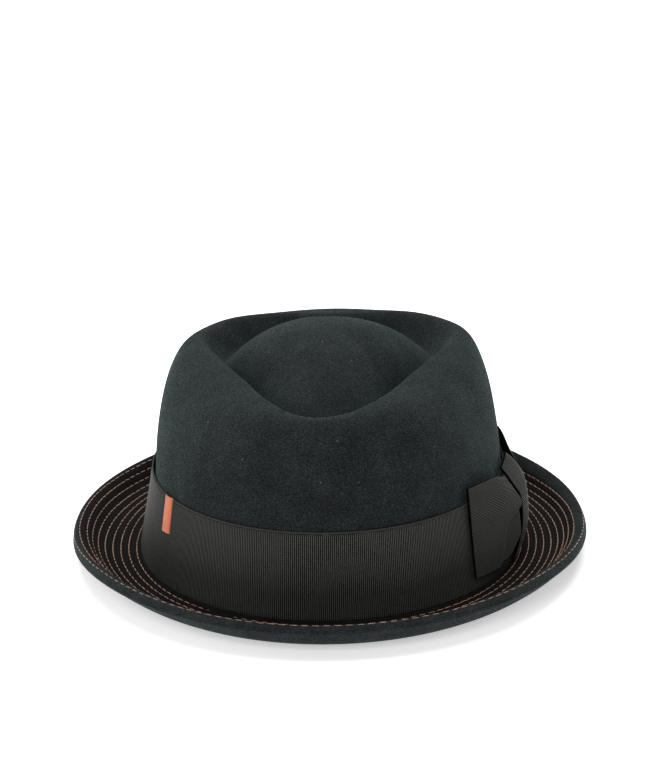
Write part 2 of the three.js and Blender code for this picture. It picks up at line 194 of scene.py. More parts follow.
def cubic(before, start, end, after, at):
    """A cubic through four (at, value) pairs, read between the middle two: the slope at a pair is that of the
    line between its two neighbours."""
    span = end[0] - start[0]
    t = (at - start[0]) / span
    leave = (end[1] - before[1]) / (end[0] - before[0]) * span
    arrive = (after[1] - start[1]) / (after[0] - start[0]) * span
    return (
        (2 * t**3 - 3 * t**2 + 1) * start[1]
        + (t**3 - 2 * t**2 + t) * leave
        + (3 * t**2 - 2 * t**3) * end[1]
        + (t**3 - t**2) * arrive
    )


def around(table, column, degrees):
    """A table's column at angles round the hat."""
    count = len(table)
    turn = np.mod(degrees, 360)
    i = np.searchsorted(table[:, 0], turn, side="right") - 1
    near = (i - 1, i, i + 1, i + 2)
    rows = [(table[k % count, 0] + 360 * (k // count), table[k % count, column]) for k in near]
    return cubic(*rows, turn)


def evened(table, column, degrees):
    """The same, evened over a few degrees to each side: a weighted mean of five readings 5 degrees apart."""
    readings = zip((1, 4, 6, 4, 1), (-10, -5, 0, 5, 10))
    return sum(weight * around(table, column, degrees + turn) for weight, turn in readings) / 16


def wall_radius(degrees, height):
    """Distance from the middle to the crown's wall: an oval whose power is CROWN_OVAL, narrower with height
    by the wall's lean."""
    above = height - FELT
    length = CROWN_LENGTH / 2 - above * math.tan(math.radians(LEAN_FRONT))
    width = CROWN_WIDTH / 2 - above * math.tan(math.radians(LEAN_SIDE))
    along = np.abs(np.cos(np.radians(degrees))) / length
    across = np.abs(np.sin(np.radians(degrees))) / width
    return (along**CROWN_OVAL + across**CROWN_OVAL) ** (-1 / CROWN_OVAL)


def place(degrees, radius, height):
    """Points from the angle round the hat, the distance from the middle and the height."""
    degrees, radius, height = np.broadcast_arrays(degrees, radius, height)
    turn = np.radians(degrees)
    return np.stack([radius * np.sin(turn), -radius * np.cos(turn), height], axis=-1)


def unit(vectors):
    """Vectors brought to length one."""
    return vectors / np.linalg.norm(vectors, axis=-1, keepdims=True)


def crown_point(degrees, stage):
    """The crown's outer face. Stage 0 to 1 is the leaning wall, to 2 the shoulder, a quarter of a rounded
    square, to 3 the gutter, half a wave of a cosine, and to 4 the dome, a power curve up to its top."""
    foot = FELT + BREAK_RADIUS
    crest_height = CREST_HEIGHT * evened(RIM, 2, degrees)
    crest_radius = evened(RIM, 1, degrees) * wall_radius(degrees, CREST_HEIGHT)
    wall_height = foot + (SHOULDER_START - foot) * np.clip(stage, 0, 1)
    power = 2 / evened(RIM, 3, degrees)
    turn = np.clip(stage - 1, 0, 1) * math.pi / 2
    shoulder_height = SHOULDER_START + (crest_height - SHOULDER_START) * np.sin(turn) ** power
    risen = (shoulder_height - SHOULDER_START) / (crest_height - SHOULDER_START)
    shoulder_wall = wall_radius(degrees, shoulder_height) + CROWN_FULLNESS * (1 - (1 - risen) ** 3)
    shoulder_radius = crest_radius + (shoulder_wall - crest_radius) * np.cos(turn) ** power
    into = np.clip(stage - 2, 0, 1)
    gutter_height = crest_height - GUTTER_DEPTH * (0.5 - 0.5 * np.cos(math.pi * into))
    share = np.clip(4 - stage, 0, 1)
    dome_height = DOME_HEIGHT - (DOME_HEIGHT - crest_height + GUTTER_DEPTH) * share**DOME_CURVE
    blend = share**DOME_BLEND
    dome_radius = share * (DOME_ROUND * (1 - blend) + (crest_radius - GUTTER_WIDTH) * blend)
    parts = [stage < 1, stage < 2, stage < 3]
    near_radii = [wall_radius(degrees, wall_height), shoulder_radius, crest_radius - GUTTER_WIDTH * into]
    radius = np.select(parts, near_radii, dome_radius)
    height = np.select(parts, [wall_height + 0 * degrees, shoulder_height, gutter_height], dome_height)
    return place(degrees, radius, height)


def even_stages(count):
    """Stages of the crown from the dome's top to the wall's foot, evenly spaced by length on the felt."""
    fine = np.linspace(4, 0, 1600)[:, None]
    points = crown_point(np.arange(0, 360, 30.0)[None, :], fine)
    steps = np.linalg.norm(np.diff(points, axis=0), axis=-1).mean(axis=1)
    length = np.concatenate([[0], np.cumsum(steps)])
    return np.interp(np.linspace(length[-1] / count, length[-1], count), length, fine[:, 0])


def outward(degrees):
    """Level direction straight out from the crown's oval."""
    step = 0.01
    after = place(degrees + step, wall_radius(degrees + step, FELT), 0.0)
    before = place(degrees - step, wall_radius(degrees - step, FELT), 0.0)
    run = after - before
    return unit(np.stack([run[..., 1], -run[..., 0], 0 * run[..., 0]], axis=-1))


def brim_point(degrees, distance):
    """The brim's upper face at distances out along the felt: a curve whose slope is 0 at first, then grows
    evenly to the slope before the edge band, and then bends into the band's own slope. Its run and rise are
    the summed cosine and sine of that slope."""
    degrees = np.atleast_1d(degrees)
    steps = 704  # about 0.05 mm each
    each = BRIM_WIDTH / steps
    middle = (np.arange(steps)[:, None] + 0.5) * each
    flat = around(BRIM, 1, degrees) * BRIM_WIDTH
    turned = np.radians(around(BRIM, 2, degrees))
    edge = np.radians(around(BRIM, 3, degrees))
    band = BRIM_WIDTH - ROLL_WIDTH
    slope = turned * np.clip((middle - flat) / (band - flat), 0, 1)
    slope = slope + (edge - turned) * np.clip((middle - band) / ROLL_BEND, 0, 1)
    zero = np.zeros((1, len(degrees)))
    run = np.vstack([zero, np.cumsum(each * np.cos(slope), axis=0)])
    rise = np.vstack([zero, np.cumsum(each * np.sin(slope), axis=0)])
    nearest = np.clip(np.round(np.atleast_1d(distance) / each).astype(int), 0, steps)
    start = place(degrees, wall_radius(degrees, FELT), FELT)
    out = outward(degrees)
    points = start + out * run[nearest][..., None]
    points[..., 2] += rise[nearest]
    return points


def lip_point(degrees, bend):
    """The brim's rounded edge: a quarter circle from its upper face at 0 degrees of bend, then a straight
    face EDGE_EXTRA high between 80 and 100, and a quarter circle to its under face at 180."""
    near, last = brim_point(degrees, np.array([BRIM_WIDTH - 0.5, BRIM_WIDTH]))
    out = unit(last - near)
    normal = unit(np.cross(out, np.roll(last, -1, axis=0) - np.roll(last, 1, axis=0)))
    bend = np.atleast_1d(bend)[:, None, None]
    turn = np.radians(bend)
    drop = FELT / 2 + EDGE_EXTRA * np.clip((bend - 80) / 20, 0, 1)
    return last - normal * drop + (normal * np.cos(turn) + out * np.sin(turn)) * FELT / 2


def facing(points):
    """Directions of a grid whose rows run down and out and whose columns go round."""
    down = np.gradient(points, axis=0)
    round_hat = np.roll(points, -1, axis=1) - np.roll(points, 1, axis=1)
    return unit(np.cross(down, round_hat))


def hand_waves(points, longest, seed):
    """Slight unevenness of a hand-blocked face: a quarter of the sum of ten slow sine waves through space,
    each along its own direction."""
    rng = np.random.default_rng(seed)
    total = np.zeros(points.shape[:-1])
    for _ in range(10):
        direction = unit(rng.normal(size=3)) * 2 * math.pi / (longest * rng.uniform(0.45, 1))
        total = total + np.sin(points @ direction + rng.uniform(0, 2 * math.pi))
    return total / 4


def stitch_rows(degrees):
    """Distances of the inner rows of stitches out along the felt at angles round the hat: a first distance
    and an even spacing, both from the brim's table, and never over the edge."""
    row = np.arange(INNER_ROWS)[:, None]
    distance = around(BRIM, 4, degrees)[None, :] + around(BRIM, 5, degrees)[None, :] * row
    return np.minimum(distance, BRIM_WIDTH - 0.7)


def quilting(degrees, distance):
    """How far the brim's face rises: 0.1 mm, less a bell-shaped dip of 0.34 mm at each row of stitches,
    plus a swell of up to 0.7 mm between the last row and the edge, a power of a sine."""
    rows = stitch_rows(degrees)
    near = distance[:, None, None] - rows[None]
    dip = np.exp(-((near / 0.6) ** 2)).sum(axis=1)
    band = np.clip((distance[:, None] - rows[-1]) / (BRIM_WIDTH - rows[-1]), 0, 1)
    fuller = np.clip((BRIM_WIDTH - rows[-1]) / 4, 0, 1)
    return 0.1 - 0.34 * dip + 0.7 * fuller * np.sin(math.pi * band) ** 0.8


def felt_rings(columns):
    """The felt's skin as rings from the top of the dome out to the brim's edge, round it and back
    underneath to the middle of the crown, and how much each ring is flattened by stitches and darkened by
    painted shade. The felt is FELT thick, and grows to EDGE_EXTRA more over the outer part of the brim, an
    S-curve."""
    turn = 2 * math.pi * np.arange(columns) / columns
    degrees = np.degrees(turn - 0.2 * np.sin(turn))  # closer together at the front
    stages = even_stages(CROWN_ROWS)
    crown = crown_point(degrees[None, :], stages[:, None])
    distance = np.concatenate([np.arange(1.0, BRIM_WIDTH - 0.3, BRIM_STEP), [BRIM_WIDTH]])
    brim = brim_point(degrees, distance)
    base = np.concatenate([crown, brim])
    normal = facing(base)
    lift = HAND_WAVE * hand_waves(base, HAND_WAVE_LENGTH, 4)
    lift[len(stages):] += quilting(degrees, distance)
    lift[-1] = 0
    outer = base + normal * lift[..., None]
    lip = lip_point(degrees, np.array([20, 40, 60, 80, 85, 90, 95, 100, 120, 140, 160]))
    grown = np.clip((distance / BRIM_WIDTH - EDGE_STARTS) / EDGE_GROWS, 0, 1)
    thickness = FELT + EDGE_EXTRA * np.concatenate([np.zeros(len(crown)), grown**2 * (3 - 2 * grown)])
    on_crown = np.arange(0, len(crown), UNDER_EVERY)
    kept = np.concatenate([on_crown, np.arange(len(crown) + 2, len(base), UNDER_EVERY), [len(base) - 1]])
    inner = (base - normal * thickness[:, None, None])[kept][::-1]
    last_row = stitch_rows(degrees)[-1]
    # Painted shade and flattened nap: 1 on the brim's face inside the last row of stitches, falling to 0.35
    # over the edge band; 0 on the crown, the lip and the under face
    fade = 0.35 + 0.65 * np.clip((last_row[None, :] + 1 - distance[:, None]) / 2, 0, 1)
    flattened_and_shaded = np.concatenate([np.zeros(crown.shape[:2]), fade, np.zeros((len(lip) + len(inner), columns))])
    return np.concatenate([outer, lip, inner]), flattened_and_shaded


def off_wall(degrees, height, out):
    """Points straight out from the crown's wall."""
    step = 0.01
    def at(d, h):
        return place(d, wall_radius(d, h), h)
    round_hat = at(degrees + step, height) - at(degrees - step, height)
    up = at(degrees, height + step) - at(degrees, height - step)
    return at(degrees, height) + unit(np.cross(round_hat, up)) * np.asarray(out)[..., None]


def grid_faces(rows, columns, wrap_columns=False, wrap_rows=False):
    """Quads of a grid as vertex numbers, with each corner's own row and column before wrapping."""
    down = np.arange(rows if wrap_rows else rows - 1)
    over = np.arange(columns if wrap_columns else columns - 1)
    j, i = (index.ravel() for index in np.meshgrid(down, over, indexing="ij"))
    row = np.stack([j, j + 1, j + 1, j], axis=-1)
    column = np.stack([i, i, i + 1, i + 1], axis=-1)
    return (row % rows) * columns + column % columns, row, column


def tubes(centre, across, up, wide, high, length, sides=7):
    """Short closed tubes, one for each row of middle points: a ring at each point is an ellipse, wide
    across and high up, and a flat face closes each end. Returns points, faces and each corner's place on
    the thread."""
    count, rings = centre.shape[:2]
    turn = 2 * math.pi * np.arange(sides) / sides
    ring = (
        across[:, :, None, :] * (wide[..., None] * np.cos(turn))[..., None]
        + up[:, :, None, :] * (high[..., None] * np.sin(turn))[..., None]
    )
    points = (centre[:, :, None, :] + ring).reshape(-1, 3)
    walls, row, column = grid_faces(rings, sides, wrap_columns=True)
    starts = np.arange(count) * rings * sides
    ends = np.stack([np.arange(sides), (rings - 1) * sides + np.arange(sides)[::-1]])
    faces = (walls[None] + starts[:, None, None]).reshape(-1, 4).tolist()
    faces += (ends[None] + starts[:, None, None]).reshape(-1, sides).tolist()
    wall_uv = np.stack([row * length / (rings - 1), column / sides], axis=-1).reshape(-1, 2)
    return points, faces, np.concatenate([np.tile(wall_uv, (count, 1)), np.zeros((ends.size * count, 2))])


CENTRE = (np.array(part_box("ribbon_band")[0]) + np.array(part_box("ribbon_band")[1])) / 2


def to_part(points):
    """Millimetres from the middle of the crown to metres in the frame."""
    moved = points.reshape(-1, 3) * MM
    moved[:, 0] += CENTRE[0]
    moved[:, 1] += CENTRE[1]
    return moved


def make_piece(name, points, faces, material, uv):
    """A finished piece from points, a list of faces and, for each corner, a place on its own pattern."""
    mesh = bpy.data.meshes.new(name)
    mesh.from_pydata(to_part(points).tolist(), [], faces)
    mesh.polygons.foreach_set("use_smooth", np.ones(len(mesh.polygons), dtype=bool))
    mesh.uv_layers.new(name="Pattern").data.foreach_set("uv", uv.astype(np.float32).ravel())
    mesh.update()
    mesh.materials.append(material)
    piece = bpy.data.objects.new(name, mesh)
    bpy.context.scene.collection.objects.link(piece)
    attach(piece, "root")
    return piece


def linear(colour):
    """An sRGB hex colour as linear red, green, blue and 1."""
    parts = [int(colour[k:k + 2], 16) / 255 for k in (1, 3, 5)]
    return [c / 12.92 if c <= 0.04045 else ((c + 0.055) / 1.055) ** 2.4 for c in parts] + [1.0]


def add_node(tree, kind, settings=None, inputs=None, links=None):
    """Adds a node of a kind, sets its settings and its sockets' values, and links other nodes' outputs in."""
    node = tree.nodes.new(kind)
    for name, value in (settings or {}).items():
        setattr(node, name, value)
    for name, value in (inputs or {}).items():
        node.inputs[name].default_value = value
    for name, output in (links or {}).items():
        tree.links.new(output, node.inputs[name])
    return node


def new_material(name):
    """An empty material and its node tree."""
    material = bpy.data.materials.new(name)
    material.use_nodes = True
    material.node_tree.nodes.clear()
    return material, material.node_tree


def finish_material(tree, shader):
    """Links a shader to a new output."""
    add_node(tree, "ShaderNodeOutputMaterial", links={"Surface": shader.outputs["BSDF"]})


def calc(tree, operation, *parts):
    """The output of a maths node whose inputs are numbers or other nodes' outputs."""
    node = tree.nodes.new("ShaderNodeMath")
    node.operation = operation
    for socket, part in zip(node.inputs, parts):
        if isinstance(part, (int, float)):
            socket.default_value = part
        else:
            tree.links.new(part, socket)
    return node.outputs[0]


def noise(tree, where, grain, detail, roughness):
    """The output of a noise whose grain is given in the units of its coordinates."""
    inputs = {"Scale": 1 / grain, "Detail": detail, "Roughness": roughness}
    return add_node(tree, "ShaderNodeTexNoise", inputs=inputs, links={"Vector": where}).outputs["Fac"]


def bump(tree, height, strength, depth):
    """The normal of a relief whose depth is given in metres."""
    inputs = {"Strength": strength, "Distance": depth}
    return add_node(tree, "ShaderNodeBump", inputs=inputs, links={"Height": height}).outputs["Normal"]


def tint(tree, share, colour, towards):
    """A colour mixed by a share towards an sRGB hex colour."""
    return add_node(
        tree, "ShaderNodeMix", settings={"data_type": "RGBA"}, inputs={7: linear(towards)},
        links={0: share, 6: colour},
    ).outputs[2]


def pattern(tree):
    """A piece's own pattern: both coordinates together, the first and the second."""
    both = add_node(tree, "ShaderNodeUVMap", settings={"uv_map": "Pattern"}).outputs["UV"]
    split = add_node(tree, "ShaderNodeSeparateXYZ", links={"Vector": both})
    return both, split.outputs["X"], split.outputs["Y"]


def ramp(tree, factor, stops):
    """A colour ramp with the given (place, colour) stops."""
    node = add_node(tree, "ShaderNodeValToRGB", links={"Fac": factor})
    elements = node.color_ramp.elements
    for k, (at, colour) in enumerate(stops):
        element = elements[k] if k < len(elements) else elements.new(at)
        element.position = at
        element.color = linear(colour)
    return node.outputs["Color"]


def wool_felt(settings):
    """Wool felt, blocked and brushed: matt, with a soft nap that catches light along the edges of the form, a
    speckle about half a millimetre wide where single fibres lie unevenly, slow patches where the dye took
    differently, and a few pale fibres caught in it. The pattern's first coordinate is 1 where the rows of
    stitches press the felt flat, 0 elsewhere: the flat nap loses its sheen there, and painted shade of the
    brim's face, sunk between crown and lip, makes it darker and browner."""
    material, tree = new_material("wool_felt")
    where = add_node(tree, "ShaderNodeTexCoord").outputs["Object"]
    flattened_and_shaded = pattern(tree)[1]
    speckle = noise(tree, where, 0.5 * MM, 3.0, 0.75)
    patches = noise(tree, where, 14 * MM, 4.0, 0.6)
    colour = ramp(tree, calc(tree, "MULTIPLY_ADD", patches, 0.25, speckle), [
        (0.42, settings.dark_colour), (0.62, settings.felt_colour), (0.84, settings.light_colour),
    ])
    # Pale fibres: a few flecks about 0.5 mm wide, some 8 mm apart
    spread = {"Scale": 1 / (8 * MM), "Randomness": 1.0}
    flecks = add_node(tree, "ShaderNodeTexVoronoi", inputs=spread, links={"Vector": where})
    near = calc(tree, "LESS_THAN", flecks.outputs["Distance"], 0.04)
    split = add_node(tree, "ShaderNodeSeparateColor", links={"Color": flecks.outputs["Color"]})
    chosen = calc(tree, "GREATER_THAN", split.outputs["Red"], 0.45)
    faint = calc(tree, "MULTIPLY", calc(tree, "MULTIPLY", near, chosen), 0.3)
    base = tint(tree, faint, colour, settings.fleck_colour)
    # Painted shade: the stitched brim's face, sunk between crown and lip, darkened and browned towards the
    # brim shade colour
    with_brim_shade = tint(tree, calc(tree, "MULTIPLY", flattened_and_shaded, 0.9), base, settings.brim_shade_colour)
    # Standing fibres catch light, the more so the higher they stand: a fifth power of the speckle
    catching = calc(tree, "POWER", calc(tree, "MULTIPLY", speckle, 1.9), 5.0)
    upright = calc(tree, "MULTIPLY", catching, calc(tree, "SUBTRACT", 1.0, flattened_and_shaded))
    shader = add_node(
        tree, "ShaderNodeBsdfPrincipled",
        inputs={
            "Roughness": 0.96, "IOR": 1.45, "Specular IOR Level": 0.1, "Sheen Roughness": 0.45,
            "Sheen Tint": linear(settings.nap_colour),
        },
        links={
            "Base Color": with_brim_shade, "Sheen Weight": calc(tree, "MULTIPLY", upright, settings.nap),
            "Normal": bump(tree, noise(tree, where, 0.6 * MM, 3.0, 0.75), 0.7, 0.3 * MM),
        },
    )
    finish_material(tree, shader)
    return material


def rayon_grosgrain(settings):
    """Rayon grosgrain ribbon: cords 0.85 mm apart under a close warp, so each cord shows as a string of
    small beads with a soft silky shine, and the valleys between cords are painted near black as shade. The
    pattern's first coordinate counts millimetres across the cords, the second millimetres along them."""
    material, tree = new_material("rayon_grosgrain")
    where, across, along = pattern(tree)
    wave = calc(tree, "SINE", calc(tree, "MULTIPLY", across, math.pi / settings.cord_pitch * MM))
    height = calc(tree, "MULTIPLY", wave, wave)
    # A bead on each cord for every 0.9 mm; on the real ribbon they are a third of that
    bead = calc(tree, "ABSOLUTE", calc(tree, "SINE", calc(tree, "MULTIPLY", along, math.pi / 0.9)))
    relief = calc(tree, "MULTIPLY_ADD", calc(tree, "MULTIPLY", height, bead), 0.45, height)
    uneven = noise(tree, where, 1 / 0.45, 3.0, 0.6)
    # Painted shade: where the relief is low, in the valleys between cords, the colour falls to the near-black
    # valley shade
    colour = ramp(tree, calc(tree, "MULTIPLY_ADD", uneven, 0.5, relief), [
        (0.5, settings.valley_shade_colour), (0.9, settings.ribbon_colour),
    ])
    # Only the raised threads shine: the cube of the relief
    shine = calc(tree, "MULTIPLY", calc(tree, "POWER", relief, 3.0), 0.3)
    shader = add_node(
        tree, "ShaderNodeBsdfPrincipled",
        inputs={"Roughness": 0.5, "IOR": 1.47, "Sheen Weight": 0.02, "Sheen Roughness": 0.35},
        links={
            "Base Color": colour, "Specular IOR Level": shine,
            "Normal": bump(tree, relief, 0.8, 0.12 * MM),
        },
    )
    finish_material(tree, shader)
    return material


def polyester_thread(name, colour, dark):
    """Twisted polyester sewing thread: a slight shine, and dark lines, painted shade in the grooves where its
    plies turn round each other. The pattern's first coordinate counts millimetres along the thread, the
    second is a share of a turn round it."""
    material, tree = new_material(name)
    _, along, turned = pattern(tree)
    spiral = calc(tree, "MULTIPLY_ADD", along, 1.1, turned)
    ply = calc(tree, "ABSOLUTE", calc(tree, "SINE", calc(tree, "MULTIPLY", spiral, 3 * math.pi)))
    shader = add_node(
        tree, "ShaderNodeBsdfPrincipled",
        inputs={"Roughness": 0.5, "IOR": 1.55, "Specular IOR Level": 0.5, "Sheen Weight": 0.15},
        links={
            # Painted shade: the grooves between plies tinted towards the dark colour
            "Base Color": ramp(tree, ply, [(0.05, dark), (0.55, colour)]),
            "Normal": bump(tree, ply, 0.6, 0.06 * MM),
        },
    )
    finish_material(tree, shader)
    return material


def lit_table(settings):
    """White acrylic light table, lit from below: matt, nearly shadowless, with a little light of its own.
    The light is even for the first 0.9 m from the middle and grows evenly over the next metre, where the
    lamps reach less."""
    material, tree = new_material("white_acrylic_table")
    where = add_node(tree, "ShaderNodeTexCoord").outputs["Object"]
    reach = add_node(tree, "ShaderNodeVectorMath", settings={"operation": "LENGTH"}, links={0: where})
    glow = add_node(
        tree, "ShaderNodeMapRange",
        inputs={"From Min": 0.9, "From Max": 1.9, "To Min": settings.table, "To Max": settings.table + 0.35},
        links={"Value": reach.outputs["Value"]},
    )
    shader = add_node(
        tree, "ShaderNodeBsdfPrincipled",
        inputs={
            "Roughness": 0.9, "Specular IOR Level": 0.1, "Emission Color": (1, 1, 1, 1),
            "Base Color": linear(settings.floor_colour),
        },
        links={"Emission Strength": glow.outputs["Result"]},
    )
    finish_material(tree, shader)
    return material


def interpolate_net(net, rows, columns):
    """A smooth face through a net of places: the cubic of the tables along each row, then along each
    column."""
    def along(values, count):
        last = len(values) - 1
        at = np.linspace(0, last, count)
        i = np.minimum(at.astype(int), last - 1)
        ends = np.concatenate([[2 * values[0] - values[1]], values, [2 * values[-1] - values[-2]]])
        pick = [(np.array(k, dtype=float).reshape(-1, *[1] * (values.ndim - 1)), ends[k + 1]) for k in
                (i - 1, i, i + 1, i + 2)]
        return cubic(*pick, at.reshape(-1, *[1] * (values.ndim - 1)))
    fine = along(net, rows)
    return np.swapaxes(along(np.swapaxes(fine, 0, 1), columns), 0, 1)


def bow_sheet(net, columns, thickness, cord_pitch, pattern_pitch):
    """A sheet of the bow through its net of places, with cords that run level. A cord is a low ridge, a
    raised cosine across it; the sheet's sides close halfway between its faces. Returns its points, faces
    and pattern."""
    cords = round((net[-1, 0, 1] - net[0, 0, 1]) / cord_pitch)
    rows = cords * 4 + 1
    face = interpolate_net(net, rows, columns)
    ridge = 0.5 - 0.5 * np.cos(2 * math.pi * np.arange(rows) / 4)
    out = RIBBON_FACE + face[..., 2]
    outer = off_wall(face[..., 0], face[..., 1], out + 0.2 * ridge[:, None])
    inner = off_wall(face[..., 0], face[..., 1], out - thickness)
    edge = 0.5 * (outer + inner)
    ring = np.concatenate([outer, edge[:, -1:], inner[:, ::-1], edge[:, :1]], axis=1)
    across = ring.shape[1]
    faces, row, column = grid_faces(rows, across, wrap_columns=True)
    along_cord = np.concatenate([[0], np.cumsum(np.linalg.norm(np.diff(ring[rows // 2], axis=0), axis=-1))])
    along_cord = np.append(along_cord, along_cord[-1] + 0.5)
    count = len(outer[0])
    # Painted shade: the turned edges and the inside read the near-black valley between two cords, which no
    # light reaches
    counted = np.where((column >= count - 1).all(axis=1, keepdims=True), 0, row)
    uv = np.stack([counted * pattern_pitch / 4, along_cord[column]], axis=-1).reshape(-1, 2)
    ends = []
    for j in (0, rows - 1):
        first = j * across
        loop = np.arange(first, first + across)
        k = np.arange(count - 1)
        strip = np.stack([loop[k], loop[k + 1], loop[across - 2 - k - 1], loop[across - 2 - k]], axis=-1)
        right = np.array([[loop[count - 1], loop[count], loop[count + 1]]])
        left = np.array([[loop[0], loop[across - 2], loop[across - 1]]])
        if j == 0:
            strip, right, left = strip[:, ::-1], right[:, ::-1], left[:, ::-1]
        ends += [strip, right, left]
    all_faces = faces[:, ::-1].tolist()
    uv = uv.reshape(-1, 4, 2)[:, ::-1].reshape(-1, 2)
    # Painted shade: the ends read the near-black valley too
    for group in ends:
        all_faces += group.tolist()
        uv = np.concatenate([uv, np.zeros((group.size, 2))])
    return ring, all_faces, uv


def colour_setting(name, description, default):
    """A setting that holds an sRGB hex colour."""
    return bpy.props.StringProperty(name=name, description=description, default=default)


def length_setting(name, description, default):
    """A setting that holds a length in metres."""
    return bpy.props.FloatProperty(
        name=name, description=description, default=default, unit="LENGTH", subtype="DISTANCE"
    )


def lamp_setting(name, description, default):
    """A setting that holds a lamp's power in watts."""
    return bpy.props.FloatProperty(name=name, description=description, default=default, unit="POWER")


class HatFelt(bpy.types.PropertyGroup):
    """Finish of the felt."""

    felt_colour: colour_setting("Felt", "Colour of the felt", "#181b1b")
    dark_colour: colour_setting("Felt, dark", "Colour between fibres", "#070808")
    light_colour: colour_setting("Felt, light", "Colour of raised fibres", "#333838")
    # Painted shade: the dark brown that the stitched brim's face is tinted with, where crown and lip shade it
    brim_shade_colour: colour_setting("Pressed", "Colour of the felt that the stitches press", "#0c0a09")
    fleck_colour: colour_setting("Flecks", "Colour of pale fibres", "#8d9296")
    nap_colour: colour_setting("Nap", "Tint of the nap's sheen", "#b8dcdc")
    nap: bpy.props.FloatProperty(
        name="Nap sheen", description="How much light the nap catches", default=0.085, min=0, max=1,
        subtype="FACTOR",
    )
    columns: bpy.props.IntProperty(name="Columns", description="Points round the hat", default=320, min=60)


class HatStitching(bpy.types.PropertyGroup):
    """Sizes and finish of the brim's stitches and the bar tack."""

    thread_colour: colour_setting("Thread", "Colour of the thread", "#a67c68")
    # Painted shade in the grooves between the brim thread's plies
    thread_dark: colour_setting("Thread, dark", "Colour between the plies", "#6a3f30")
    tack_colour: colour_setting("Bar tack", "Colour of the bar's thread", "#d0703f")
    # Painted shade in the grooves between the bar tack thread's plies
    tack_dark: colour_setting("Bar tack, dark", "Colour between its plies", "#8a3f1e")
    pitch: length_setting("Pitch", "From one stitch to the next", 4.6 * MM)
    length: length_setting("Length", "Length of a stitch", 4.0 * MM)
    radius: length_setting("Radius", "Radius of the thread", 0.165 * MM)


class HatRibbon(bpy.types.PropertyGroup):
    """Sizes and finish of the ribbon and the bow."""

    ribbon_colour: colour_setting("Ribbon", "Colour of the cords", "#343532")
    # Painted shade: the near black painted into the valleys between cords and onto the bow's turned edges
    valley_shade_colour: colour_setting("Valleys", "Colour between cords", "#030303")
    cord_pitch: length_setting("Cord pitch", "From one cord to the next", 0.85 * MM)


class HatStage(bpy.types.PropertyGroup):
    """Floor and lights."""

    floor_colour: colour_setting("Floor", "Colour of the floor", "#f4f4f4")
    table: bpy.props.FloatProperty(name="Table", description="Strength of its own light", default=0.45)
    world: bpy.props.FloatProperty(name="Surround", description="Strength of light round it", default=0.17)
    top: lamp_setting("Top light", "Power of the light above", 22.0)
    left: lamp_setting("Left light", "Power of the left light", 7.0)
    right: lamp_setting("Right light", "Power of the right light", 3.5)
    front: lamp_setting("Front light", "Power of the front light", 16.0)


class OBJECT_OT_hat_felt(bpy.types.Operator):
    """Make the felt: crown, brim and lip in one skin"""

    bl_idname = "object.hat_felt"
    bl_label = "Felt"

    def execute(self, context):
        settings = context.scene.hat_felt
        rings, flattened_and_shaded = felt_rings(settings.columns)
        rows, columns = rings.shape[:2]
        points = np.concatenate([rings.reshape(-1, 3), [(0, 0, DOME_HEIGHT), (0, 0, DOME_HEIGHT - FELT)]])
        faces, row, column = grid_faces(rows, columns, wrap_columns=True)
        i = np.arange(columns)
        following = (i + 1) % columns
        last = (rows - 1) * columns
        top = np.stack([np.full(columns, rows * columns), i, following], axis=-1)
        under = np.stack([np.full(columns, rows * columns + 1), last + following, last + i], axis=-1)
        all_faces = faces.tolist() + top.tolist() + under.tolist()
        uv = np.zeros((row.size + 6 * columns, 2))
        # The first coordinate carries the stitched brim's flattened nap and its painted shade
        uv[:row.size, 0] = flattened_and_shaded[row, column % columns].ravel()
        felt = make_piece("hat_felt", points, all_faces, wool_felt(settings), uv)
        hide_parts("felt_body")
        return {"FINISHED"}


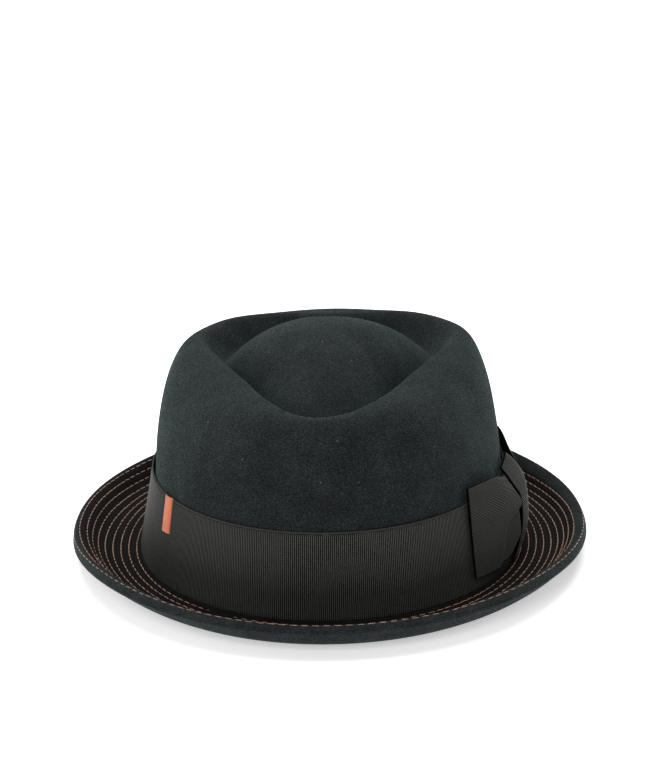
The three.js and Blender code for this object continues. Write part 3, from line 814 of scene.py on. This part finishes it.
class OBJECT_OT_hat_brim_stitches(bpy.types.Operator):
    """Sew the ten rows of stitches round the brim"""

    bl_idname = "object.hat_brim_stitches"
    bl_label = "Brim stitches"

    def execute(self, context):
        settings = context.scene.hat_stitching
        colours = settings.thread_colour, settings.thread_dark
        material = polyester_thread("polyester_topstitching_thread", *colours)
        degrees = np.arange(0, 360, 0.25)
        bend = around(BRIM, 6, degrees)
        inside = np.concatenate([self.along_felt(degrees, -0.3), self.along_edge(degrees, bend - 15)])
        outside = np.concatenate([self.along_felt(degrees, 0.3), self.along_edge(degrees, bend + 15)])
        for name, chosen in (("brim_stitches_inner", slice(0, 5)), ("brim_stitches_outer", slice(5, 10))):
            rows = [self.row(inside[k], outside[k], settings, 31 + k) for k in range(INNER_ROWS + 1)[chosen]]
            points, faces, uv = [], [], []
            for row in rows:
                faces += [[corner + len(points) for corner in face] for face in row[1]]
                points += row[0].tolist()
                uv.append(row[2])
            make_piece(name, np.array(points), faces, material, np.concatenate(uv))
        return {"FINISHED"}

    def along_felt(self, degrees, beside):
        """Lines along the inner rows on the brim's upper face, a little to one side of them."""
        fine = np.arange(0, BRIM_WIDTH + 0.05, 0.1)
        face = brim_point(degrees, fine)
        at = np.clip((stitch_rows(degrees) + beside) / 0.1, 0, len(fine) - 1.001)
        return self.between(face, at)

    def along_edge(self, degrees, bend):
        """One line along the brim's rounded edge, at its own bend for each angle round the hat."""
        turns = np.arange(0, 181, 5)
        return self.between(lip_point(degrees, turns), np.clip(bend / 5, 0, len(turns) - 1.001)[None])

    def between(self, face, at):
        """Reads a grid of points at a place between its rows, one place for each column of each line."""
        low = at.astype(int)
        share = (at - low)[..., None]
        column = np.arange(face.shape[1])[None, :]
        return face[low, column] * (1 - share) + face[low + 1, column] * share

    def row(self, inside, outside, settings, seed):
        """One row of stitches. Each is a short tube laid along the row, its radius and its height above the
        felt falling as a sixth power towards its two ends, where it goes down into the felt."""
        rng = np.random.default_rng(seed)
        line = (inside + outside) / 2
        closed = np.concatenate([line, line[:1]])
        steps = np.linalg.norm(np.diff(closed, axis=0), axis=-1)
        length = np.concatenate([[0], np.cumsum(steps)])
        count = round(length[-1] / (settings.pitch / MM))
        pitch = length[-1] / count
        t = np.linspace(-1, 1, 8)
        middle = (np.arange(count) + 0.5) * pitch + rng.normal(0, 0.09, count)
        reach = settings.length / MM / 2 * rng.normal(1, 0.05, count)
        along = np.mod(middle[:, None] + reach[:, None] * t[None, :], length[-1])
        side = unit(outside - inside)
        tangent = unit(np.roll(line, -1, axis=0) - np.roll(line, 1, axis=0))
        normal = unit(np.cross(side, tangent))
        def read(values):
            ring = np.concatenate([values, values[:1]])
            return np.stack([np.interp(along, length, ring[:, k]) for k in range(3)], axis=-1)
        centre, across, up = read(line), unit(read(side)), unit(read(normal))
        slant = rng.normal(0.08, 0.05, count)[:, None] * t[None, :]
        end = np.broadcast_to(t**6, slant.shape)
        centre = centre + across * slant[..., None] + up * (-0.02 - 0.5 * end)[..., None]
        radius = settings.radius / MM * (1 - 0.3 * end)
        return tubes(centre, across, up, radius * 1.15, radius * 0.85, reach.mean() * 2)


class OBJECT_OT_hat_ribbon(bpy.types.Operator):
    """Lay the ribbon round the crown"""

    bl_idname = "object.hat_ribbon"
    bl_label = "Ribbon"

    def execute(self, context):
        settings = context.scene.hat_ribbon
        degrees = np.arange(0, 360, 0.25)
        line = off_wall(degrees, np.full(degrees.shape, 22.0), np.full(degrees.shape, RIBBON_FACE))
        closed = np.concatenate([line, line[:1]])
        length = np.concatenate([[0], np.cumsum(np.linalg.norm(np.diff(closed, axis=0), axis=-1))])
        cords = round(length[-1] / (settings.cord_pitch / MM))
        columns = cords * 4
        at = np.interp(np.arange(columns) / columns * length[-1], length, np.append(degrees, 360))
        top = RIBBON_BOTTOM + RIBBON_WIDTH * math.cos(math.radians(LEAN_SIDE))
        share, out, cord = RIBBON_ROWS.T
        ridge = 0.2 * (0.5 - 0.5 * np.cos(2 * math.pi * np.arange(columns) / 4))
        height = RIBBON_BOTTOM + (top - RIBBON_BOTTOM) * share
        around_hat, up_ribbon = np.broadcast_arrays(at[None, :], height[:, None])
        wave = 0.15 * hand_waves(off_wall(around_hat, up_ribbon, np.zeros(around_hat.shape)), 50, 8)
        stand = out[:, None] + cord[:, None] * (ridge[None, :] + wave * (out[:, None] > 0.9))
        points = off_wall(around_hat, up_ribbon, stand)
        faces, row, column = grid_faces(len(share), columns, wrap_columns=True, wrap_rows=True)
        pattern = np.append(height, height[0])
        # The woven edge has no cords: it reads the side of one all along
        counted = np.where(np.isin(row % len(share), WOVEN_EDGE), 1, column)
        uv = np.stack([counted * (settings.cord_pitch / MM) / 4, pattern[row]], axis=-1)
        ribbon = make_piece(
            "hat_ribbon", points, faces[:, ::-1].tolist(), rayon_grosgrain(settings),
            uv[:, ::-1].reshape(-1, 2),
        )
        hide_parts("ribbon_band")
        return {"FINISHED"}


class OBJECT_OT_hat_bow(bpy.types.Operator):
    """Fold the bow: two wings, each with a layer under it, and the knot between them"""

    bl_idname = "object.hat_bow"
    bl_label = "Bow"

    def execute(self, context):
        settings = context.scene.hat_ribbon
        material = bpy.data.materials["rayon_grosgrain"]
        pitch = settings.cord_pitch / MM
        sheets = (
            ("bow_front_wing_top", FRONT_WING, 30, "bow_front_wing"),
            ("bow_front_wing_under", FRONT_LAYER, 24, "bow_front_wing"),
            ("bow_knot_strap", KNOT, 26, "bow_knot"),
            ("bow_back_wing_top", BACK_WING, 30, "bow_back_wing"),
            ("bow_back_wing_under", BACK_LAYER, 24, "bow_back_wing"),
        )
        for name, net, columns, node in sheets:
            points, faces, uv = bow_sheet(net, columns, 1.0, 0.75 * pitch, pitch)
            piece = make_piece(name, points, faces, material, uv)
            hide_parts(node)
            face = off_wall(net[..., 0], net[..., 1], RIBBON_FACE + net[..., 2]) * MM
        return {"FINISHED"}


class OBJECT_OT_hat_bar_tack(bpy.types.Operator):
    """Sew the bar tack at the ribbon's upper edge"""

    bl_idname = "object.hat_bar_tack"
    bl_label = "Bar tack"

    def execute(self, context):
        settings = context.scene.hat_stitching
        material = polyester_thread("polyester_embroidery_thread", settings.tack_colour, settings.tack_dark)
        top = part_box("thread_tack")[1][2] / MM
        count = TACK_STITCHES
        t = np.linspace(-1, 1, 11)
        rng = np.random.default_rng(17)
        start = top - 0.45 - np.arange(count) * 0.49
        half = 3.65 + rng.normal(0, 0.07, count)
        degrees = TACK_ANGLE + np.degrees(half[:, None] * t[None, :] / (CROWN_WIDTH / 2))
        height = start[:, None] + 0.2 * t[None, :] + rng.normal(0, 0.03, count)[:, None]
        stand = np.broadcast_to(RIBBON_FACE + 0.75 - 0.75 * np.abs(t) ** 4, degrees.shape)
        centre = off_wall(degrees, height, stand)
        out = unit(off_wall(degrees, height, stand + 1) - centre)
        across = unit(np.cross(unit(np.gradient(centre, axis=1)), out))
        radius = np.full(degrees.shape, 0.3)
        points, faces, uv = tubes(centre, across, out, radius, radius, 7.3)
        tack = make_piece("ribbon_bar_tack", points, faces, material, uv)
        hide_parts("thread_tack")
        return {"FINISHED"}


class OBJECT_OT_hat_stage(bpy.types.Operator):
    """Set the floor, the lights and the camera"""

    bl_idname = "object.hat_stage"
    bl_label = "Stage"

    def execute(self, context):
        settings = context.scene.hat_stage
        scene = context.scene
        scene.view_settings.view_transform = "Standard"
        side = 6.0
        mesh = bpy.data.meshes.new("studio_floor")
        corners = [(-side, -side, 0), (side, -side, 0), (side, side, 0), (-side, side, 0)]
        mesh.from_pydata(corners, [], [(0, 1, 2, 3)])
        mesh.materials.append(lit_table(settings))
        floor = bpy.data.objects.new("studio_floor", mesh)
        scene.collection.objects.link(floor)
        world = bpy.data.worlds.new("soft_surround")
        scene.world = world
        world.use_nodes = True
        world.node_tree.nodes.clear()
        sky = add_node(world.node_tree, "ShaderNodeBackground", inputs={"Strength": settings.world})
        add_node(world.node_tree, "ShaderNodeOutputWorld", links={"Surface": sky.outputs["Background"]})
        self.light(scene, "softbox_above", (0.0, 0.45, 1.2), (0, 0, 0.08), 1.2, settings.top)
        self.light(scene, "softbox_left", (-1.2, 0.2, 0.45), (0, 0, 0.06), 0.9, settings.left)
        self.light(scene, "softbox_right", (1.2, 0.2, 0.45), (0, 0, 0.06), 0.9, settings.right)
        self.light(scene, "softbox_front", (-0.25, -1.5, 0.9), (0, 0, 0.05), 1.0, settings.front)
        self.camera(scene)
        return {"FINISHED"}

    def light(self, scene, name, at, towards, size, power):
        """A square soft light that faces a point."""
        data = bpy.data.lights.new(name, "AREA")
        data.shape = "SQUARE"
        data.size = size
        data.energy = power
        lamp = bpy.data.objects.new(name, data)
        lamp.location = at
        aim = mathutils.Vector(towards) - mathutils.Vector(at)
        lamp.rotation_euler = aim.to_track_quat("-Z", "Y").to_euler()
        scene.collection.objects.link(lamp)

    def camera(self, scene):
        """The photograph's view: the camera's place from its turn, height angle and distance from the crown's
        middle, then aimed so that the picture's centre lies where the photograph's does."""
        turn, rise, roll = (math.radians(v) for v in (CAMERA_TURN, CAMERA_RISE, CAMERA_ROLL))
        back = np.array([math.sin(turn) * math.cos(rise), -math.cos(turn) * math.cos(rise), math.sin(rise)])
        right = np.array([math.cos(turn), math.sin(turn), 0])
        up = np.cross(back, right)
        eye = np.array([CENTRE[0], CENTRE[1], CAMERA_AIM_HEIGHT * MM]) + back * CAMERA_DISTANCE * MM
        rolled_right = math.cos(roll) * right + math.sin(roll) * up
        rolled_up = math.cos(roll) * up - math.sin(roll) * right
        beside = rolled_right * (PICTURE_WIDTH / 2 - MIDDLE_X) + rolled_up * (MIDDLE_Y - PICTURE_HEIGHT / 2)
        ahead = unit(beside - back * CAMERA_FOCAL)
        side = unit(np.cross(ahead, rolled_up))
        top = np.cross(side, ahead)
        data = bpy.data.cameras.new("photo_camera")
        data.sensor_width = 36
        data.lens = CAMERA_FOCAL * data.sensor_width / PICTURE_HEIGHT
        data.clip_end = 50
        camera = bpy.data.objects.new("photo_camera", data)
        camera.matrix_world = mathutils.Matrix((
            (side[0], top[0], -ahead[0], eye[0]),
            (side[1], top[1], -ahead[1], eye[1]),
            (side[2], top[2], -ahead[2], eye[2]),
            (0, 0, 0, 1),
        ))
        scene.collection.objects.link(camera)
        scene.camera = camera


class VIEW3D_PT_hat(bpy.types.Panel):
    """Buttons for the hat's pieces."""

    bl_label = "Porkpie hat"
    bl_idname = "VIEW3D_PT_hat"
    bl_space_type = "VIEW_3D"
    bl_region_type = "UI"
    bl_category = "Hat"

    def draw(self, context):
        for operator in OPERATORS:
            self.layout.operator(operator.bl_idname)


OPERATORS = (
    OBJECT_OT_hat_felt,
    OBJECT_OT_hat_brim_stitches,
    OBJECT_OT_hat_ribbon,
    OBJECT_OT_hat_bow,
    OBJECT_OT_hat_bar_tack,
    OBJECT_OT_hat_stage,
)
SETTINGS = {
    "hat_felt": HatFelt,
    "hat_stitching": HatStitching,
    "hat_ribbon": HatRibbon,
    "hat_stage": HatStage,
}


def register():
    """Registers the settings, the operators and the panel."""
    for name, group in SETTINGS.items():
        bpy.utils.register_class(group)
        setattr(bpy.types.Scene, name, bpy.props.PointerProperty(type=group))
    for operator in OPERATORS:
        bpy.utils.register_class(operator)
    bpy.utils.register_class(VIEW3D_PT_hat)


def unregister():
    """Takes them out again."""
    bpy.utils.unregister_class(VIEW3D_PT_hat)
    for operator in reversed(OPERATORS):
        bpy.utils.unregister_class(operator)
    for name, group in SETTINGS.items():
        delattr(bpy.types.Scene, name)
        bpy.utils.unregister_class(group)


def main():
    """Makes the whole hat and its stage."""
    register()
    bpy.ops.object.hat_felt()
    bpy.ops.object.hat_brim_stitches()
    bpy.ops.object.hat_ribbon()
    bpy.ops.object.hat_bow()
    bpy.ops.object.hat_bar_tack()
    bpy.ops.object.hat_stage()


if __name__ == "__main__":
    main()
